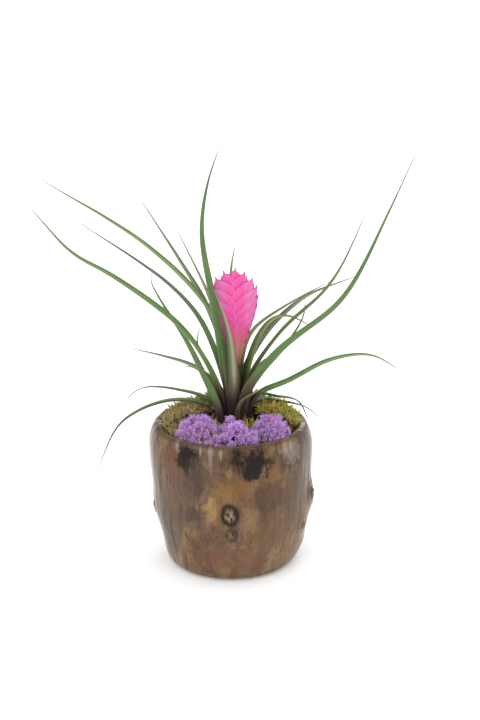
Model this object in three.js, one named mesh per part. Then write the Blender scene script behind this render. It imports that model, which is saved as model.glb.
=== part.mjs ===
// A potted air plant: a rosette of narrow channelled leaves round one flat pink flower spike,
// set in potting mix and moss inside a glazed pot shaped like a piece of log.
//
// Millimetres, +Z up. The origin is the centre of the pot's underside, +X is to the right of
// the face that carries the log's eye-shaped knot, and +Y points away from that face.
import * as THREE from 'three';
import { mergeVertices } from 'three/addons/utils/BufferGeometryUtils.js';

// Driving dimensions
const POT_HEIGHT = 119;
const POT_RADIUS = 63.5; // of the log's outside, half way up
const MIX_TOP = 101; // the potting mix's level inside the pot
const GAP = 0.35; // kept between pieces that touch
const CROWN = {
  x: 2, y: 7, topRadius: 3.6, topZ: 126, footRadius: 18.6, footZ: 106, plugRadius: 9, plugZ: 84,
};
const SPIKE = { x: 4.5, y: 4, z: 167, height: 79, leanDeg: -3, yawDeg: 6 };
const BRACTS = { left: 9, right: 10 }; // in the spike's two ranks

const radians = THREE.MathUtils.degToRad;
const smooth = THREE.MathUtils.smoothstep;

const FINISH = {
  glaze: { color: 0x86654a, roughness: 0.25, metalness: 0 },
  mix: { color: 0x2e2018, roughness: 0.95, metalness: 0 },
  crown: { color: 0x3a2a26, roughness: 0.6, metalness: 0 },
  leaf: { color: 0x5f8544, roughness: 0.45, metalness: 0 },
  stem: { color: 0xb07a55, roughness: 0.5, metalness: 0 },
  bract: { color: 0xf04fa6, roughness: 0.4, metalness: 0 },
  brownMoss: { color: 0x6f5c30, roughness: 0.9, metalness: 0 },
  greenMoss: { color: 0x8a8a2c, roughness: 0.9, metalness: 0 },
  lichen: { color: 0x9c68c8, roughness: 0.9, metalness: 0 },
};

const airPlant = new THREE.Group();

function addPiece(parent, name, geometry, finish) {
  const piece = new THREE.Mesh(geometry, new THREE.MeshStandardMaterial(FINISH[finish]));
  piece.name = name;
  parent.add(piece);
  return piece;
}

// Moves every vertex of a geometry: place(point) changes the point it is given.
function reshape(geometry, place) {
  const positions = geometry.attributes.position;
  const point = new THREE.Vector3();
  for (let i = 0; i < positions.count; i += 1) {
    place(point.fromBufferAttribute(positions, i));
    positions.setXYZ(i, point.x, point.y, point.z);
  }
  geometry.deleteAttribute('normal');
  geometry.deleteAttribute('uv');
  const merged = mergeVertices(geometry, 1e-4);
  merged.computeVertexNormals();
  return merged;
}

// A turned solid about +Z from [radius, height] pairs that start and end on the axis.
function turned(profile, segments) {
  const points = profile.map(([radius, height]) => new THREE.Vector2(radius, height));
  return new THREE.LatheGeometry(points, segments).rotateX(Math.PI / 2);
}

// ---------------------------------------------------------------------------------------
// Pot: one cast and glazed piece with a smooth inside, a rounded rim and a flat underside.
// Its outside has the swellings and knots of a log.

const POT_PROFILE = [
  [0, 0], [49.5, 0], // underside
  [52.6, 3], [54.6, 9], [56.2, 18], [58.6, 29], [61.2, 40], [62.4, 52], [62.8, 66],
  [63.3, 80], [64, 92], [64.2, 102], [63.4, 109.5], [61.6, 115], [59.4, 118.3], // outside
  [57.4, POT_HEIGHT], [55.8, 117.6], [55.2, 113], // rim
  [55, 100], [54, 60], [52, 32], [48, 16], [42, 10], [0, 10], // inside
];
const POT_SEGMENTS = 56;

// Knots that stand out of the log: direction in degrees, height, how far out, and half sizes.
const KNOTS = [
  { direction: 269, z: 63, out: 1.3, wide: 8, tall: 9 },
  { direction: 0, z: 53, out: 3.2, wide: 13, tall: 8 },
  { direction: -8, z: 19, out: 2.6, wide: 12, tall: 6 },
  { direction: 183, z: 50, out: 1.6, wide: 14, tall: 8 },
  { direction: 118, z: 70, out: 3, wide: 12, tall: 10 },
];

function logSwelling(angle, z) {
  const waves = 0.8 * Math.sin(3 * angle + 0.6) + 0.5 * Math.sin(5 * angle + 2.1)
    + 0.35 * Math.sin(9 * angle + z / 40);
  const leftSide = Math.max(0, -Math.cos(angle)) ** 2 * (1.6 + 0.8 * smooth(z, 20, 60));
  const rightSide = Math.max(0, Math.cos(angle)) ** 2 * (1.8 - 1.6 * smooth(z, 50, 80));
  const knots = KNOTS.reduce((sum, knot) => {
    const turn = angle - radians(knot.direction);
    const across = Math.atan2(Math.sin(turn), Math.cos(turn)) * POT_RADIUS / knot.wide;
    const along = (z - knot.z) / knot.tall;
    return sum + knot.out * Math.exp(-across * across - along * along);
  }, 0);
  const sides = leftSide * (1 - 0.3 * smooth(z, 100, POT_HEIGHT)) + rightSide;
  return waves * smooth(z, 0, 25) * (1 - 0.6 * smooth(z, 95, POT_HEIGHT)) + knots + sides;
}

function potGeometry() {
  return reshape(turned(POT_PROFILE, POT_SEGMENTS), (p) => {
    const radius = Math.hypot(p.x, p.y);
    const outsideFrom = p.z < 30 ? 51 : 56.5;
    if (radius < outsideFrom) return;
    const angle = Math.atan2(p.y, p.x);
    const swollen = radius + logSwelling(angle, p.z) * smooth(p.z, 0, 12);
    p.x = swollen * Math.cos(angle);
    p.y = swollen * Math.sin(angle);
  });
}

addPiece(airPlant, 'pot', potGeometry(), 'glaze');

// ---------------------------------------------------------------------------------------
// Potting mix: a plug that fills the pot, with a well for the plant's root stub.

function mixGeometry() {
  const wellRadius = CROWN.plugRadius + GAP;
  const wellFloor = CROWN.plugZ - GAP;
  const profile = [
    [0, 10 + GAP], [41.4, 10 + GAP], [47.2, 16.4], [51.3, 32], [53.4, 60], [54.3, 97], [53, MIX_TOP],
    [wellRadius, MIX_TOP], [wellRadius, wellFloor], [0, wellFloor],
  ];
  return reshape(turned(profile, 40), (p) => {
    const radius = Math.hypot(p.x, p.y);
    if (p.z < wellFloor - 1 || radius > wellRadius + 1) return;
    p.x += CROWN.x;
    p.y += CROWN.y;
  });
}

addPiece(airPlant, 'potting_mix', mixGeometry(), 'mix');

// ---------------------------------------------------------------------------------------
// Crown: the plant's short stem. The leaves stand round its cone, the outer ones lower down,
// and its stub holds it in the mix.

function crownGeometry() {
  const { topRadius, topZ, footRadius, footZ, plugRadius, plugZ } = CROWN;
  const profile = [
    [0, plugZ], [plugRadius - 3, plugZ], [plugRadius, plugZ + 4], [plugRadius, MIX_TOP + GAP],
    [footRadius, MIX_TOP + GAP], [footRadius, footZ], [topRadius, topZ], [0, topZ],
  ];
  return reshape(turned(profile, 20), (p) => {
    p.x += CROWN.x;
    p.y += CROWN.y;
  });
}

addPiece(airPlant, 'crown', crownGeometry(), 'crown');

// ---------------------------------------------------------------------------------------
// Leaves: narrow channelled blades that taper to a thread. Each one starts on the crown's cone.

const LEAF_SECTION = [ // half a width across, seen from the leaf's tip: a thin open channel
  [-1, 0.3], [-0.55, -0.08], [0, -0.24], [0.55, -0.08], [1, 0.3],
  [0.6, -0.28], [0, -0.5], [-0.6, -0.28],
];
const LEAF_RING = { first: 6.2, step: 2.9 }; // radii on the crown where leaves start
const LEAF_TIP = 0.35; // half a width at the very tip

// Each leaf starts at a direction on the crown (in degrees, 0 is +X and 90 is the back) and on
// one of its rings, has a width and a twist in degrees along the blade, and passes through
// the points given.
const LEAVES = {
  leaf_left_long: {
    direction: 205, ring: 2, width: 12.5, twist: -30,
    through: [[-9, -2, 143], [-35, -20, 200], [-91, -38, 251], [-121, -42, 270], [-149, -40, 302]],
  },
  leaf_left_high: {
    direction: 160, ring: 0, width: 9.5, twist: -25,
    through: [[-3, 12, 155], [-15, 24, 201], [-65, 48, 250], [-156, 80, 301]],
  },
  leaf_left_middle: {
    direction: 222, ring: 0, width: 9.5, twist: -30,
    through: [[-5, 3, 148], [-24, 7, 201], [-47, 10, 229], [-126, 20, 283]],
  },
  leaf_left_thin: {
    direction: 126, ring: 1, width: 7, twist: 20,
    through: [[-3, 18, 154], [-17, 32, 199], [-53, 58, 255], [-74, 74, 284]],
  },
  leaf_left_back: {
    direction: 110, ring: 2, width: 6, twist: 20,
    through: [[-1, 22, 153], [-17, 46, 206], [-45, 94, 253]],
  },
  leaf_upright: {
    direction: 243, ring: 1, width: 10.5, twist: 30,
    through: [[-3, -4, 140], [-13, -6, 212], [-23, -12, 281], [-17, -12, 322], [-11, -10, 339]],
  },
  leaf_beside_flower: {
    direction: 291, ring: 1, width: 9, twist: 40,
    through: [[3, -6, 141], [0, -13, 186], [-4, -16, 207], [-15, -18, 238]],
  },
  leaf_behind_flower: {
    direction: 80, ring: 0, width: 7, twist: 0,
    through: [[4, 15, 144], [6, 30, 177], [-1, 58, 228], [2, 70, 244]],
  },
  leaf_right_arched: {
    direction: 35, ring: 0, width: 6, twist: 0,
    through: [[7, 10, 156], [15, 26, 185], [49, 56, 203], [84, 84, 214]],
  },
  leaf_right_short: {
    direction: 19, ring: 1, width: 10.6, twist: 20,
    through: [[11, 11, 149], [23, 15, 188], [36, 17, 203], [48, 17, 203], [62, 15, 196]],
  },
  leaf_right_far: {
    direction: 50, ring: 2, width: 7, twist: 10,
    through: [[9, 19, 149], [27, 36, 181], [60, 60, 206], [102, 84, 217]],
  },
  leaf_right_inner: {
    direction: 332, ring: 1, width: 9.3, twist: 30,
    through: [[11, 0, 148], [36, -7, 194], [78, -6, 236], [98, 0, 274], [104, 4, 288]],
  },
  leaf_right_tall: {
    direction: 310, ring: 2, width: 13, twist: 35,
    through: [[11, -7, 143], [38, -18, 185], [87, -30, 232], [121, -32, 303], [139, -26, 342]],
  },
  leaf_right_hooked: {
    direction: 350, ring: 2, width: 8, twist: 20,
    through: [[15, 4, 145], [42, 14, 176], [58, 24, 199], [61, 28, 208], [60, 32, 214]],
  },
  leaf_right_low: {
    direction: 358, ring: 3, width: 9, twist: 25,
    through: [[16, 6, 136], [48, 12, 150], [80, 16, 166], [115, 20, 169], [135, 20, 157]],
  },
  leaf_right_rim: {
    direction: 22, ring: 3, width: 7, twist: 0,
    through: [[20, 14, 134], [39, 24, 128], [65, 33, 118], [72, 34, 110]],
  },
  leaf_right_rim_back: {
    direction: 42, ring: 4, width: 7, twist: 0,
    through: [[18, 20, 135], [40, 36, 127], [56, 46, 121], [64, 52, 102]],
  },
  leaf_left_low: {
    direction: 140, ring: 3, width: 6, twist: 0,
    through: [[-13, 17, 140], [-26, 26, 154], [-59, 52, 158], [-84, 70, 158]],
  },
  leaf_left_rim_back: {
    direction: 170, ring: 4, width: 6, twist: 0,
    through: [[-13, 10, 130], [-46, 24, 138], [-78, 38, 134], [-89, 42, 121]],
  },
  leaf_left_rim: {
    direction: 190, ring: 4, width: 7, twist: 0,
    through: [[-14, 4, 128], [-47, 4, 136], [-90, 0, 118], [-110, -6, 78]],
  },
  leaf_left_curled: {
    direction: 172, ring: 2, width: 7, twist: -20,
    through: [[-8, 13, 140], [-19, 19, 158], [-30, 29, 179], [-27, 33, 186]],
  },
  leaf_left_hooked: {
    direction: 226, ring: 3, width: 10, twist: -30,
    through: [[-12, -8, 135], [-24, -4, 162], [-36, 2, 186], [-59, 15, 220], [-67, 22, 235], [-64, 26, 240]],
  },
  leaf_front: {
    direction: 280, ring: 3, width: 8, twist: 0,
    through: [[7, -13, 139], [24, -18, 152]],
  },
  leaf_back: {
    direction: 90, ring: 3, width: 9, twist: 0,
    through: [[2, 24, 137], [0, 60, 163], [5, 92, 166]],
  },
  leaf_back_left: {
    direction: 125, ring: 4, width: 8, twist: 0,
    through: [[-8, 24, 133], [-30, 58, 145], [-44, 84, 137]],
  },
  leaf_back_right: {
    direction: 65, ring: 4, width: 8, twist: 0,
    through: [[10, 26, 136], [32, 62, 149], [40, 88, 139]],
  },
};

function crownSurfaceZ(radius) {
  const { topRadius, topZ, footRadius, footZ } = CROWN;
  return THREE.MathUtils.mapLinear(radius, topRadius, footRadius, topZ, footZ);
}

// The blade is narrow where it clasps the crown, widest just above, and then tapers evenly.
function leafHalfWidth(width, t) {
  const clasp = 0.62 + 0.38 * smooth(t, 0, 0.16);
  return (width / 2) * clasp * (1 - t) ** 0.85 + LEAF_TIP;
}

function leafGeometry({ direction, ring, width, twist, through }) {
  const angle = radians(direction);
  const ringRadius = LEAF_RING.first + ring * LEAF_RING.step;
  const foot = new THREE.Vector3(
    CROWN.x + ringRadius * Math.cos(angle),
    CROWN.y + ringRadius * Math.sin(angle),
    crownSurfaceZ(ringRadius) + 1.4,
  );
  const spine = new THREE.CatmullRomCurve3([foot, ...through.map((p) => new THREE.Vector3(...p))]);
  const steps = THREE.MathUtils.clamp(Math.round(spine.getLength() / 11), 8, 20);

  // A frame at each step: the side direction is carried along the spine and twists evenly.
  const frames = [];
  const side = new THREE.Vector3(-Math.sin(angle), Math.cos(angle), 0);
  for (let i = 0; i <= steps; i += 1) {
    const tangent = spine.getTangentAt(i / steps);
    side.addScaledVector(tangent, -side.dot(tangent)).normalize();
    if (i > 0) side.applyAxisAngle(tangent, radians(twist) / steps);
    const face = new THREE.Vector3().crossVectors(tangent, side).normalize();
    frames.push({ centre: spine.getPointAt(i / steps), side: side.clone(), face });
  }

  const outline = new THREE.Shape(LEAF_SECTION.map(([x, y]) => new THREE.Vector2(x, y)));
  const bar = new THREE.ExtrudeGeometry(outline, { depth: 1, steps, bevelEnabled: false });
  return reshape(bar, (p) => {
    const { centre, side: across, face } = frames[Math.round(p.z * steps)];
    const half = leafHalfWidth(width, p.z);
    const [x, y] = [p.x * half, p.y * half];
    p.copy(centre).addScaledVector(across, x).addScaledVector(face, y);
  });
}

for (const [name, shape] of Object.entries(LEAVES)) {
  addPiece(airPlant, name, leafGeometry(shape), 'leaf');
}

// ---------------------------------------------------------------------------------------
// Flower stem: a thin stalk from the crown's top through the spike.

function stemGeometry() {
  const foot = new THREE.Vector3(CROWN.x, CROWN.y, CROWN.topZ + GAP);
  const lean = radians(SPIKE.leanDeg);
  const spikePoint = (along) => new THREE.Vector3(
    SPIKE.x + along * Math.sin(lean), SPIKE.y, SPIKE.z + along * Math.cos(lean),
  );
  const top = 0.78 * SPIKE.height;
  const spine = new THREE.CatmullRomCurve3(
    [foot, spikePoint(-20), spikePoint(0), spikePoint(top / 2), spikePoint(top)],
  );
  const steps = 14;
  const sides = 10;
  const circle = new THREE.Shape(new THREE.EllipseCurve(0, 0, 1, 1).getPoints(sides).slice(0, sides));
  const bar = new THREE.ExtrudeGeometry(circle, { depth: 1, steps, bevelEnabled: false });
  const [footThickness, spikeThickness, topThickness] = [2.4, 1, 0.5];
  return reshape(bar, (p) => {
    const centre = spine.getPointAt(p.z);
    const inSpike = smooth(centre.z, SPIKE.z - 16, SPIKE.z - 5);
    const thickness = THREE.MathUtils.lerp(footThickness, spikeThickness, inSpike)
      - (spikeThickness - topThickness) * smooth(centre.z, SPIKE.z, SPIKE.z + top);
    p.set(centre.x + p.x * thickness, centre.y + p.y * thickness, centre.z);
  });
}

addPiece(airPlant, 'flower_stem', stemGeometry(), 'stem');

// ---------------------------------------------------------------------------------------
// Flower spike: folded bracts in two flat ranks. Each bract is a thin boat whose keel is the
// spike's edge, and it clasps the foot of the next one up.

const SPIKE_PLACES = 10.4;
const BRACT = {
  wall: 0.34, thinning: 0.4, openDeg: 17.5, stemRoom: 1.7, footWidth: 0.9, tipWidth: 0.9, flareDeg: 30,
};

// The spike's outline, where the bracts' tips lie: [out from the axis, up from the foot].
const SPIKE_OUTLINE = new THREE.CubicBezierCurve(
  new THREE.Vector2(5, 6), new THREE.Vector2(10, 30),
  new THREE.Vector2(36, 66), new THREE.Vector2(2.5, SPIKE.height),
);

function bractGeometry(rankSide, index, first) {
  const place = (index + first) / SPIKE_PLACES; // along the outline, 1 at the spike's top
  const tip = SPIKE_OUTLINE.getPointAt(place);
  const rise = 5 + 1.05 * tip.x;
  const foot = tip.y - rise - (index === 0 ? 1.5 : 0); // the lowest one reaches further down
  const flare = SPIKE_OUTLINE.getTangentAt(place);
  flare.rotateAround(new THREE.Vector2(), -radians(BRACT.flareDeg));
  const keel = new THREE.CubicBezierCurve(
    new THREE.Vector2(BRACT.stemRoom + BRACT.footWidth, foot),
    new THREE.Vector2(BRACT.stemRoom + BRACT.footWidth + 0.1 * rise, foot + 0.22 * rise),
    tip.clone().addScaledVector(flare, -0.38 * rise),
    tip,
  );
  const margin = new THREE.CubicBezierCurve(
    new THREE.Vector2(BRACT.stemRoom, foot + 0.4),
    new THREE.Vector2(0.25, foot + 0.4 * rise),
    new THREE.Vector2(0.3, foot + 0.75 * rise),
    tip.clone().addScaledVector(new THREE.Vector2(-flare.y, flare.x), BRACT.tipWidth),
  );
  const open = Math.tan(radians(BRACT.openDeg));

  // The box's x runs from inside to outside, y from foot to tip, z across from margin to margin.
  const box = new THREE.BoxGeometry(1, 1, 2, 1, 6, 4);
  return reshape(box, (p) => {
    const along = p.y + 0.5;
    const onKeel = keel.getPoint(along);
    const onMargin = margin.getPoint(along);
    const span = onKeel.distanceTo(onMargin);
    const wall = p.x < 0 ? Math.min(BRACT.wall, BRACT.thinning * span * open) : 0;
    const fold = wall / open / span;
    const across = fold + (1 - fold) * Math.abs(p.z);
    const spot = onKeel.lerp(onMargin, across);
    const depth = across * span * open - wall;
    p.set(rankSide * spot.x, -Math.sign(p.z) * depth * rankSide, spot.y);
  });
}

const spike = new THREE.Group();
spike.position.set(SPIKE.x, SPIKE.y, SPIKE.z);
spike.rotation.set(0, radians(SPIKE.leanDeg), radians(SPIKE.yawDeg));
airPlant.add(spike);
const ranks = [
  { rank: 'left', rankSide: -1, first: 1.8 },
  { rank: 'right', rankSide: 1, first: 1.35 },
];
for (const { rank, rankSide, first } of ranks) {
  for (let i = 0; i < BRACTS[rank]; i += 1) {
    const name = `bract_${rank}_${String(i + 1).padStart(2, '0')}`;
    addPiece(spike, name, bractGeometry(rankSide, i, first), 'bract');
  }
}

// ---------------------------------------------------------------------------------------
// Moss: three mats of sheet moss round the plant, and four cushions of dyed reindeer lichen
// along the front.

// A mat between two directions and two radii about the crown, domed towards the plant.
function matGeometry(fromDeg, toDeg, topZ) {
  const [innerRadius, rimRadius] = [20, 53.4];
  const mat = new THREE.BoxGeometry(1, 1, 1, 10, 4, 1);
  return reshape(mat, (p) => {
    const angle = radians(THREE.MathUtils.lerp(toDeg, fromDeg, p.x + 0.5));
    const outward = p.y + 0.5;
    const isTop = p.z > 0;
    const inner = new THREE.Vector2(Math.cos(angle), Math.sin(angle)).multiplyScalar(innerRadius);
    inner.x += CROWN.x;
    inner.y += CROWN.y;
    const outer = new THREE.Vector2(Math.cos(angle), Math.sin(angle)).multiplyScalar(rimRadius);
    const spot = inner.lerp(outer, outward);
    const lumps = 1.2 * Math.sin(angle * 9) * Math.sin(outward * 7);
    const roof = topZ - 8 * outward ** 2 + lumps;
    p.set(spot.x, spot.y, isTop ? roof : MIX_TOP + GAP);
  });
}

addPiece(airPlant, 'moss_mat_left', matGeometry(134, 190, 127), 'brownMoss');
addPiece(airPlant, 'moss_mat_back', matGeometry(52, 132, 127), 'greenMoss');
addPiece(airPlant, 'moss_mat_right', matGeometry(-14, 50, 127), 'greenMoss');

// Lichen cushions: centre, and half sizes, resting on the mix.
const CUSHIONS = {
  lichen_left: [[-27.5, -26], [16.5, 17, 17]],
  lichen_middle: [[2.2, -31.5], [12.4, 20, 17]],
  lichen_right: [[31, -24], [15, 15, 17]],
  lichen_small: [[16.4, -46.8], [4.8, 4.7, 15]],
};

function cushionGeometry([x, y], [wide, deep, tall]) {
  const foot = MIX_TOP + GAP;
  return reshape(new THREE.IcosahedronGeometry(1, 3), (p) => {
    const lump = 1 + 0.06 * Math.sin(p.x * 7) * Math.sin(p.y * 6 + 1) * Math.cos(p.z * 5);
    p.set(x + p.x * wide * lump, y + p.y * deep * lump, Math.max(foot, foot + tall * (p.z * lump + 0.75)));
  });
}

for (const [name, [centre, halfSizes]] of Object.entries(CUSHIONS)) {
  addPiece(airPlant, name, cushionGeometry(centre, halfSizes), 'lichen');
}

export default airPlant;
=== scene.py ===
import math
import random

import bmesh
import bpy
from mathutils import Matrix, Vector, noise


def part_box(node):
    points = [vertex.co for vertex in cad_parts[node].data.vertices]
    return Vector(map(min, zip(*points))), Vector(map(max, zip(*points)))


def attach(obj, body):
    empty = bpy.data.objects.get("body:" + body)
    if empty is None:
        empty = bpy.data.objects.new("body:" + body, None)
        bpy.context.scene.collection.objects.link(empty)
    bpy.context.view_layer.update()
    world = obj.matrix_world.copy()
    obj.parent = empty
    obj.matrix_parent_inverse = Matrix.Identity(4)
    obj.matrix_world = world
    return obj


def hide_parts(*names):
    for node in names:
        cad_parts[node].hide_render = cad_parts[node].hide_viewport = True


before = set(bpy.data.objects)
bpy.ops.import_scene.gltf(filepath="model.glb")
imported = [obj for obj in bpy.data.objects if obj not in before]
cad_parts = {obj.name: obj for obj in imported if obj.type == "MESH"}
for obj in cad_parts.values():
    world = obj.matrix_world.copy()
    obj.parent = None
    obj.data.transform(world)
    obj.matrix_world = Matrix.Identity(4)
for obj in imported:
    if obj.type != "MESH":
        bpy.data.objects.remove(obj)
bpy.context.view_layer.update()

# ---------------------------------------------------------------------------------------------
# Studio: a pale floor, large soft light panels and a camera a little above the plant. None of
# it belongs to the object.

MM = 0.001

scene = bpy.context.scene
scene.view_settings.view_transform = "Standard"
scene.world = bpy.data.worlds.new("studio_air")
scene.world.use_nodes = True
studio_air = scene.world.node_tree.nodes["Background"]
studio_air.inputs["Color"].default_value = (1, 1, 1, 1)
studio_air.inputs["Strength"].default_value = 1.0


def add_panel(name, place, aim, size, power):
    """A square light panel that faces a point, with its size in metres and its power in watts."""
    bpy.ops.object.light_add(type="AREA", location=place)
    panel = bpy.context.object
    panel.name = name
    panel.data.size = size
    panel.data.energy = power
    panel.rotation_euler = (Vector(aim) - Vector(place)).to_track_quat("-Z", "Y").to_euler()
    return panel


add_panel("key_panel", (-1.9, -2.3, 2.3), (0, 0, 0.15), 1.6, 16)
add_panel("top_panel", (0.2, 0.6, 3.2), (0, 0.3, 0), 2.4, 22)
STRIP_WIDTH = 0.09
STRIP_LENGTH = 0.7
for name, place, power in (("left_strip", (-0.5, -1.5, 0.9), 1.9), ("right_strip", (1.15, -1.05, 1.1), 1.6)):
    strip = add_panel(name, place, (0, 0, 0.08), STRIP_WIDTH, power)
    strip.data.shape = "RECTANGLE"
    strip.data.size_y = STRIP_LENGTH
add_panel("back_strip", (0.5, 1.6, 1.0), (0, 0, 0.1), 0.4, 2.5)

FLOOR_SIZE = 18
FLOOR_DROP = 0.2 * MM  # keeps the floor clear of the pot's base
bpy.ops.mesh.primitive_plane_add(size=FLOOR_SIZE, location=(0, 0, -FLOOR_DROP))
floor = bpy.context.object
floor.name = "floor"
floor_paint = bpy.data.materials.new("floor_paint")
floor_paint.use_nodes = True
floor_surface = floor_paint.node_tree.nodes["Principled BSDF"]
floor_surface.inputs["Base Color"].default_value = (0.94, 0.94, 0.94, 1)
floor_surface.inputs["Roughness"].default_value = 0.9
floor_surface.inputs["Emission Color"].default_value = (1, 1, 1, 1)
floor_surface.inputs["Emission Strength"].default_value = 0.16
floor.data.materials.append(floor_paint)

LOOK_AT = Vector((6.8 * MM, 0, 171 * MM))
VIEW_RISE = math.radians(18)
VIEW_DISTANCE = 1.25
LENS = 77.75  # mm
bpy.ops.object.camera_add()
camera = bpy.context.object
camera.name = "camera"
camera.location = LOOK_AT + VIEW_DISTANCE * Vector((0, -math.cos(VIEW_RISE), math.sin(VIEW_RISE)))
camera.rotation_euler = (math.pi / 2 - VIEW_RISE, 0, 0)
camera.data.lens = LENS
camera.data.clip_start = 0.01
scene.camera = camera

# ---------------------------------------------------------------------------------------------
# Pot: slip-cast ceramic in the shape of a piece of log, with bark grain, knots and a glossy
# streaked glaze in browns, rust and black. It starts as the CAD pot's shape.


def copy_of_node(node, name):
    """A new piece with a CAD node's shape, its doubles merged and its triangles joined into quads."""
    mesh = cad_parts[node].data.copy()
    mesh.materials.clear()
    piece = bpy.data.objects.new(name, mesh)
    scene.collection.objects.link(piece)
    bpy.ops.object.select_all(action="DESELECT")
    bpy.context.view_layer.objects.active = piece
    piece.select_set(True)
    if mesh.has_custom_normals:
        bpy.ops.mesh.customdata_custom_splitnormals_clear()
    bpy.ops.object.mode_set(mode="EDIT")
    bpy.ops.mesh.select_all(action="SELECT")
    bpy.ops.mesh.remove_doubles(threshold=0.004 * MM)
    bpy.ops.mesh.tris_convert_to_quads(face_threshold=math.radians(60), shape_threshold=math.radians(70))
    bpy.ops.object.mode_set(mode="OBJECT")
    return piece


def smooth_by_subdivision(piece, levels):
    """Rounds a piece with a Subdivision Surface modifier and shades it smooth."""
    bpy.context.view_layer.objects.active = piece
    rounding = piece.modifiers.new("rounding", "SUBSURF")
    rounding.levels = levels
    rounding.render_levels = levels
    bpy.ops.object.modifier_apply(modifier=rounding.name)
    piece.data.polygons.foreach_set("use_smooth", [True] * len(piece.data.polygons))


def store(piece, name, values):
    """Keeps one number for each vertex, which the material reads with stored."""
    kept = piece.data.attributes.new(name, "FLOAT", "POINT")
    kept.data.foreach_set("value", values)


def finish_piece(piece, paint, slot, *nodes):
    """Gives a piece its material and ties it to the frame."""
    piece.data.materials.append(paint)
    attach(piece, "root")
    if nodes:
        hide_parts(*nodes)


def srgb(red, green, blue):
    """A colour from 0 to 255 on screen, as the linear colour that a shader takes."""
    linear = [(c / 255) / 12.92 if c < 11 else ((c / 255 + 0.055) / 1.055) ** 2.4 for c in (red, green, blue)]
    return (*linear, 1)


def add_node(paint, kind, settings=None, inputs=None):
    """A shader node with its settings made and its inputs set, or linked where a socket is given."""
    made = paint.node_tree.nodes.new("ShaderNode" + kind)
    for name, value in (settings or {}).items():
        setattr(made, name, value)
    for name, value in (inputs or {}).items():
        if isinstance(value, bpy.types.NodeSocket):
            paint.node_tree.links.new(value, made.inputs[name])
        else:
            made.inputs[name].default_value = value
    return made


def new_paint(name, **constants):
    """A material and its surface shader, with the numbers that are the same all over it set."""
    paint = bpy.data.materials.new(name)
    paint.use_nodes = True
    surface = paint.node_tree.nodes["Principled BSDF"]
    for socket, value in constants.items():
        surface.inputs[socket.replace("_", " ")].default_value = value
    return paint, surface


def place_on_piece(paint):
    """Each point's place on the piece, in metres."""
    return add_node(paint, "TexCoord").outputs["Object"]


def stored(paint, name):
    """A number that the piece keeps for each vertex."""
    return add_node(paint, "Attribute", {"attribute_name": name}).outputs["Fac"]


def axes_of(paint, place):
    """A place's three numbers, as sockets called X, Y and Z."""
    return add_node(paint, "SeparateXYZ", inputs={"Vector": place}).outputs


def grey(level):
    """A number as a colour, for a ramp that gives a number."""
    return (level, level, level, 1)


def ramp(paint, source, *stops):
    """Colours along a number: each stop is (place, colour)."""
    made = add_node(paint, "ValToRGB", inputs={"Fac": source})
    elements = made.color_ramp.elements
    for (place, colour), element in zip(stops, elements):
        element.position = place
        element.color = colour
    for place, colour in stops[2:]:
        elements.new(place).color = colour
    return made.outputs["Color"]


def limits(paint, source, low, high):
    """0 where a number is below low, 1 where it is above high; the other way round if low is larger."""
    settings = {"interpolation_type": "SMOOTHSTEP"}
    made = add_node(paint, "MapRange", settings, {"Value": source, "From Min": low, "From Max": high})
    return made.outputs["Result"]


def math_of(paint, operation, first, second=0):
    """One sum on two numbers, or on the first alone."""
    made = add_node(paint, "Math", {"operation": operation})
    for socket, value in zip(made.inputs, (first, second)):
        if isinstance(value, bpy.types.NodeSocket):
            paint.node_tree.links.new(value, socket)
        else:
            socket.default_value = value
    return made.outputs["Value"]


def vector_math_of(paint, operation, *places):
    """One sum on places, as sockets called Vector and Value."""
    return add_node(paint, "VectorMath", {"operation": operation}, dict(enumerate(places))).outputs


def tint(paint, under, over, share, strength=1.0):
    """One colour laid over another, as far as share says at each point, times strength all over."""
    if strength != 1.0:
        share = math_of(paint, "MULTIPLY", share, strength)
    return add_node(paint, "MixRGB", inputs={"Fac": share, "Color1": under, "Color2": over}).outputs["Color"]


def noise_of(paint, vector, scale, detail=4, distortion=0.0, roughness=0.55):
    """Soft random cloud, from 0 to 1."""
    inputs = {"Vector": vector, "Scale": scale, "Detail": detail, "Roughness": roughness}
    return add_node(paint, "TexNoise", inputs={**inputs, "Distortion": distortion}).outputs["Fac"]


def spot(paint, vector, centre, half_sizes):
    """1 at a place on the piece, falling softly to 0 at its half sizes away."""
    off = vector_math_of(paint, "SUBTRACT", vector, centre)["Vector"]
    scaled = vector_math_of(paint, "DIVIDE", off, half_sizes)["Vector"]
    return limits(paint, vector_math_of(paint, "LENGTH", scaled)["Value"], 1.0, 0.1)


def link(paint, source, surface, socket):
    """Sets one of the surface shader's inputs from a socket."""
    paint.node_tree.links.new(source, surface.inputs[socket])


def add_bump(paint, surface, strength, distance, height):
    """Small relief in the surface, from a number that is its height."""
    inputs = {"Strength": strength, "Distance": distance, "Height": height}
    link(paint, add_node(paint, "Bump", inputs=inputs).outputs["Normal"], surface, "Normal")


POT_RADIUS = 62 * MM
RIM_INNER = 56.2 * MM
RIM_HEIGHT = 118 * MM
RIM_FROM = 108 * MM  # the rim's waves and thickening fade in above this height
RIM_WAVE = 1.5 * MM
RIM_THICKENING = 2.6 * MM  # inwards, on the right
BULGE_FROM = 55 * MM  # the sides' bulges fade in above this height
BULGE_LEFT = 1.8 * MM
BULGE_RIGHT = 0.9 * MM
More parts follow.
